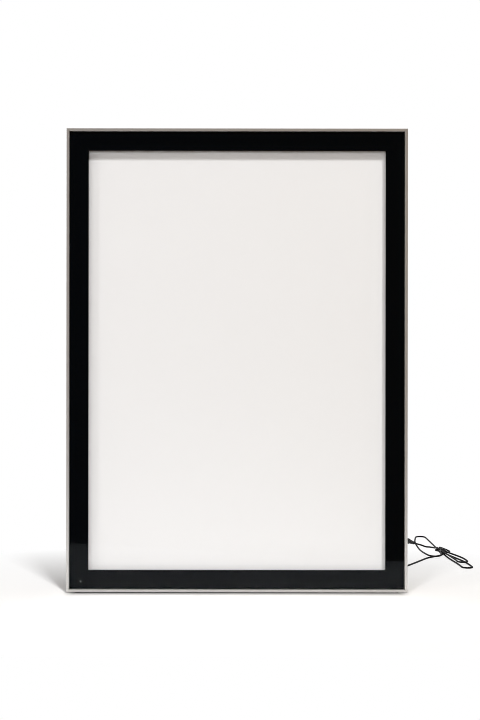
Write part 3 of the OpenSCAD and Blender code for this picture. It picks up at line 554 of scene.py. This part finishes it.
# finishes of the CAD nodes that stay as they are, and the nodes that each is on
finishes = {
    "black_moulding": {
        "low": (0.009, 0.009, 0.010), "high": (0.020, 0.020, 0.021),
        "roughness": 0.42, "spread": 0.16, "scale": 1500.0, "depth": 0.00005, "shine": 0.3,
        "on": ("cord_gland", "gland_nut", "plug_body", "plug_insulator"),
    },
    "zinc_plate": {
        "low": (0.42, 0.42, 0.43), "high": (0.60, 0.60, 0.60),
        "roughness": 0.30, "spread": 0.15, "scale": 800.0, "depth": 0.00003, "metallic": 1.0,
        "on": ("corner_screws",),
    },
    "nickel_plate": {
        "low": (0.62, 0.60, 0.57), "high": (0.74, 0.72, 0.69),
        "roughness": 0.16, "spread": 0.10, "scale": 600.0, "depth": 0.00002, "metallic": 1.0,
        "on": ("frame_magnets", "plug_barrel"),
    },
    "rolled_steel": {
        "low": (0.34, 0.34, 0.35), "high": (0.46, 0.46, 0.47),
        "roughness": 0.35, "spread": 0.20, "scale": 300.0, "depth": 0.00003, "metallic": 1.0,
        "on": ("cover_strip_top", "cover_strip_bottom", "cover_strip_left", "cover_strip_right"),
    },
    "key_casting": {
        "low": (0.32, 0.32, 0.33), "high": (0.46, 0.46, 0.47),
        "roughness": 0.48, "spread": 0.20, "scale": 900.0, "depth": 0.0001, "metallic": 1.0,
        "on": ("corner_key_top_left", "corner_key_top_right",
               "corner_key_bottom_left", "corner_key_bottom_right"),
    },
    "electrode_brass": {
        "low": (0.62, 0.44, 0.16), "high": (0.76, 0.58, 0.26),
        "roughness": 0.22, "spread": 0.12, "scale": 700.0, "depth": 0.00002, "metallic": 1.0,
        "on": ("touch_electrode",),
    },
    "closed_foam": {
        "low": (0.030, 0.030, 0.032), "high": (0.060, 0.060, 0.064),
        "roughness": 0.80, "spread": 0.15, "scale": 1800.0, "depth": 0.0003,
        "on": ("back_foam", "sheet_pads", "touch_board_pads"),
    },
    "foot_rubber": {
        "low": (0.006, 0.006, 0.006), "high": (0.012, 0.012, 0.012),
        "roughness": 0.70, "spread": 0.15, "scale": 900.0, "depth": 0.00004,
        "on": ("foot_strip",),
    },
    "white_diffuser": {
        "low": (0.861, 0.846, 0.851), "high": (0.888, 0.873, 0.878),
        "roughness": 0.55, "spread": 0.10, "scale": 1200.0, "depth": 0.00003, "shine": 0.1,
        "on": ("diffuser_panel",),
    },
    "white_film": {
        "low": (0.88, 0.88, 0.88), "high": (0.93, 0.93, 0.93),
        "roughness": 0.40, "spread": 0.10, "scale": 900.0, "depth": 0.00002,
        "on": ("reflector_sheet",),
    },
    "back_board": {
        "low": (0.60, 0.61, 0.61), "high": (0.70, 0.71, 0.71),
        "roughness": 0.42, "spread": 0.14, "scale": 1400.0, "depth": 0.00006,
        "on": ("back_panel",),
    },
    "lamp_board": {
        "low": (0.82, 0.82, 0.80), "high": (0.90, 0.90, 0.88),
        "roughness": 0.35, "spread": 0.10, "scale": 900.0, "depth": 0.00002,
        "on": ("led_board_left", "led_board_right"),
    },
    "lamp_chip": {
        "low": (0.78, 0.62, 0.16), "high": (0.88, 0.74, 0.26),
        "roughness": 0.20, "spread": 0.10, "scale": 900.0, "depth": 0.00002,
        "on": ("led_chips_left", "led_chips_right"),
    },
    "green_board": {
        "low": (0.015, 0.10, 0.04), "high": (0.03, 0.17, 0.07),
        "roughness": 0.35, "spread": 0.15, "scale": 900.0, "depth": 0.00003,
        "on": ("touch_board",),
    },
    "smoked_pipe": {
        "low": (0.36, 0.39, 0.40), "high": (0.42, 0.45, 0.46),
        "roughness": 0.25, "spread": 0.10, "scale": 600.0, "depth": 0.00002,
        "on": ("touch_light_pipe",),
    },
    "wire_red": {
        "low": (0.36, 0.012, 0.012), "high": (0.50, 0.03, 0.03),
        "roughness": 0.40, "spread": 0.12, "scale": 900.0, "depth": 0.00003,
        "on": ("led_wire_left", "led_wire_right"),
    },
    "wire_black": {
        "low": (0.012, 0.012, 0.012), "high": (0.024, 0.024, 0.024),
        "roughness": 0.40, "spread": 0.12, "scale": 900.0, "depth": 0.00003,
        "on": ("supply_wire",),
    },
    "black_print": {
        "low": (0.0003, 0.0009, 0.0017), "high": (0.0005, 0.0013, 0.0023),
        "roughness": 0.45, "spread": 0.10, "scale": 400.0, "depth": 0.00001, "shine": 0.0,
        "on": ("cover_border",),
    },
    "clear_guide": {
        "low": (0.80, 0.86, 0.87), "high": (0.84, 0.90, 0.91),
        "roughness": 0.08, "spread": 0.06, "scale": 300.0, "depth": 0.00001,
        "on": ("light_guide_plate",),
    },
}


# one material on each of the named nodes
def dress(material, names):
    for name in names:
        nodes[name].data.materials.clear()
        nodes[name].data.materials.append(material)
    return len(names)


# the profiles in drawn aluminium, and every other node in its finish
def dressNodes():
    done = 0
    for name, profile in anodised["drawn"].items():
        done += dress(anodisedAluminium(name, profile["axis"]), profile["on"])
    for name, look in finishes.items():
        done += dress(grained(name, look), look["on"])
    print("nodes dressed:", done)


dressNodes()


studio = {
    "floorReach": 6.0,
    "floorColour": (0.62, 0.62, 0.62, 1.0),
    "floorSeen": (1.38, 1.38, 1.38, 1.0),       # as it is seen: its lit part comes out just white
    "fadeFrom": 0.03,       # distance from the frame where painted white starts to fade out its shadow, and where the shadow is gone
    "fadeTo": 0.39,
    "paintedContactReach": 0.022,  # how far in front of the frame its painted contact shadow reaches
    "paintedContactDepth": 0.75,
    # the painted contact shadow's depth above and its colour below, mixed into the floor as seen close to
    # the foot
    "paintedContactColour": (0.02, 0.02, 0.02, 1.0),
    "ambient": (0.03, 0.03, 0.03, 1.0),
    # the room's dark front: two points of its foot, its reach and height, and its colours with their places
    # in X
    "roomFoot": ((-0.348, -0.506), (0.316, -0.297)),
    "roomReach": 3.0,
    "roomHeight": 3.0,
    "roomLeft": (0.115, 0.082, 0.060, 1.0),
    "roomRight": (0.128, 0.084, 0.038, 1.0),
    "roomBlend": (-0.35, 0.30),
    "pixelBlur": 0.9,       # narrower than usual: the photograph is crisp
    "aim": (0.0, 0.0, 0.38),
    # angles in degrees, and each share of the light on the side that it faces
    "softBoxes": {
        "softBoxRight": {"azimuth": 21.0, "elevation": 50.0, "distance": 9.0, "size": 1.1, "share": 0.34},
        "softBoxLeft": {"azimuth": -24.0, "elevation": 43.0, "distance": 9.0, "size": 1.2, "share": 0.13},
        "softBoxSide": {"azimuth": -55.0, "elevation": 10.0, "distance": 9.0, "size": 1.6, "share": 0.10},
        "softBoxFront": {"azimuth": 0.0, "elevation": 2.0, "distance": 5.0, "size": 1.6, "share": 0.44},
        "softBoxRear": {"azimuth": 180.0, "elevation": 0.0, "distance": 9.0, "size": 0.6, "share": 0.24},
    },
}


# one flat face through the corners, which isn't part of the object
def flatPiece(name, corners, material):
    mesh = bpy.data.meshes.new(name)
    mesh.from_pydata(corners, [], [list(range(len(corners)))])
    mesh.materials.append(material)
    piece = bpy.data.objects.new(name, mesh)
    scene.collection.objects.link(piece)
    return piece


# 1 for what the camera sees, straight, mirrored or through a pane, but not by way of a matte surface
def sight(tree):
    kinds = ("Is Camera Ray", "Is Glossy Ray", "Is Transmission Ray", "Diffuse Depth")
    camera, glossy, through, depth = (Wire.node(tree, "ShaderNodeLightPath", out=kind) for kind in kinds)
    return camera + (glossy + through) * (1 - depth)


# a Vector Math node
def vectorMaths(tree, operation, first, second=(0.0, 0.0, 0.0), out="Vector"):
    return Wire.node(tree, "ShaderNodeVectorMath", {"operation": operation}, {0: first, 1: second}, out)


# how far a point of the floor is outside a rectangle round the origin: the length of its place without signs
# less the rectangle's half sizes, with nothing below zero
def distanceOutside(tree, halfX, halfY):
    folded = vectorMaths(tree, "ABSOLUTE", objectPlace(tree))
    past = vectorMaths(tree, "SUBTRACT", folded, (halfX, halfY, 0.0))
    outside = vectorMaths(tree, "MAXIMUM", past)
    return vectorMaths(tree, "LENGTH", outside, out="Value")


# a matte shader of one colour
def matte(tree, colour):
    return Wire.node(tree, "ShaderNodeBsdfDiffuse", {}, {"Color": colour})


# a shader that shows a colour as it is
def glow(tree, colour):
    return Wire.node(tree, "ShaderNodeEmission", {}, {"Color": colour, "Strength": 1.0})


# pale floor: it takes the shadow, has a painted contact shadow close to the frame's foot, and is painted
# white, as seen, away from the frame, which fades the shadow out
def floorMaterial():
    material, tree, surface = bareMaterial("studio_floor")
    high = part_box("frame_bottom")[1]
    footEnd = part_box("foot_strip")[1].x
    seen = sight(tree)
    # painted white, as seen, that fades the shadow out with distance from the frame
    fade = Wire.node(tree, "ShaderNodeMapRange", {}, {
        "Value": distanceOutside(tree, high.x, high.y),
        "From Min": studio["fadeFrom"], "From Max": studio["fadeTo"],
    })
    # the painted contact shadow: a dark colour mixed in as seen, deepest at the foot and gone past its reach
    contact = Wire.node(tree, "ShaderNodeMapRange", {}, {
        "Value": distanceOutside(tree, footEnd, high.y),
        "From Max": studio["paintedContactReach"], "To Min": studio["paintedContactDepth"], "To Max": 0.0,
    })
    lit = shaderMix(tree, seen, matte(tree, studio["floorColour"]), matte(tree, studio["floorSeen"]))
    shaded = shaderMix(tree, seen * contact, lit, matte(tree, studio["paintedContactColour"]))
    shaderMix(tree, seen * fade, shaded, glow(tree, white)).feed(surface)
    return material


# the dark front of the room, cooler on its left, which the camera and the lamps look through
def roomMaterial():
    material, tree, surface = bareMaterial("studio_room")
    x = Wire.node(tree, "ShaderNodeSeparateXYZ", {}, {0: objectPlace(tree)}, "X")
    start, end = studio["roomBlend"]
    share = Wire.node(tree, "ShaderNodeMapRange", {}, {"Value": x, "From Min": start, "From Max": end})
    glow(tree, colourMix(tree, share, studio["roomLeft"], studio["roomRight"])).feed(surface)
    return material


# a soft box, which gloss doesn't mirror: its power is its share times the square of pi times its distance,
# over the cosine at which its light meets the side that it faces
def softBox(name, azimuth, elevation, distance, size, share):
    turn = math.radians(azimuth)
    rise = math.radians(elevation)
    facing = math.cos(turn) * math.cos(rise)
    light = bpy.data.lights.new(name, "AREA")
    light.shape = "SQUARE"
    light.size = size
    light.energy = share * (math.pi * distance) ** 2 / abs(facing)
    lamp = bpy.data.objects.new(name, light)
    way = np.array([math.sin(turn) * math.cos(rise), -facing, math.sin(rise)])
    lamp.location = np.array(studio["aim"]) + distance * way
    lamp.rotation_euler = (math.pi / 2 - rise, 0, turn)
    lamp.visible_camera = False
    lamp.visible_glossy = False
    scene.collection.objects.link(lamp)


# the room's dark front: an upright sheet along the line through the two points of its foot
def buildRoom():
    footA, footB = (np.array(p) for p in studio["roomFoot"])
    unit = (footB - footA) / np.linalg.norm(footB - footA)
    left = footA - unit * studio["roomReach"]
    right = footB + unit * studio["roomReach"]
    height = studio["roomHeight"]
    corners = [(*left, 0), (*right, 0), (*right, height), (*left, height)]
    room = flatPiece("room_front", corners, roomMaterial())
    room.visible_camera = False
    room.visible_shadow = False
    room.visible_transmission = False


# a dim world that is seen as white
def buildWorld():
    world = bpy.data.worlds.new("studio")
    world.use_nodes = True
    tree = world.node_tree
    tree.nodes.clear()
    dim = Wire.node(tree, "ShaderNodeBackground", {}, {"Color": studio["ambient"], "Strength": 1.0})
    bright = Wire.node(tree, "ShaderNodeBackground", {}, {"Color": white, "Strength": 1.0})
    output = tree.nodes.new("ShaderNodeOutputWorld")
    shaderMix(tree, sight(tree), dim, bright).feed(output.inputs["Surface"])
    scene.world = world


# floor, room, lamps and world
def buildStudio():
    reach = studio["floorReach"]
    corners = [(-reach, -reach, 0), (reach, -reach, 0), (reach, reach, 0), (-reach, reach, 0)]
    flatPiece("floor", corners, floorMaterial())
    buildRoom()
    for name, box in studio["softBoxes"].items():
        softBox(name, **box)
    buildWorld()
    scene.view_settings.view_transform = "Standard"
    scene.cycles.filter_width = studio["pixelBlur"]
    print("studio made")


buildStudio()


view = {
    "place": (0.0049, -1.8145, 0.3808),
    "lens": 55.12,
    "sensor": 36.0,
    "roll": math.radians(-0.07),
}


# the camera looks level along Y, with a slight roll
def buildCamera():
    lens = bpy.data.cameras.new("camera")
    lens.lens = view["lens"]
    lens.sensor_width = view["sensor"]
    camera = bpy.data.objects.new("camera", lens)
    camera.location = view["place"]
    camera.rotation_euler = (math.pi / 2, view["roll"], 0)
    scene.collection.objects.link(camera)
    scene.camera = camera
    print("camera set")


buildCamera()
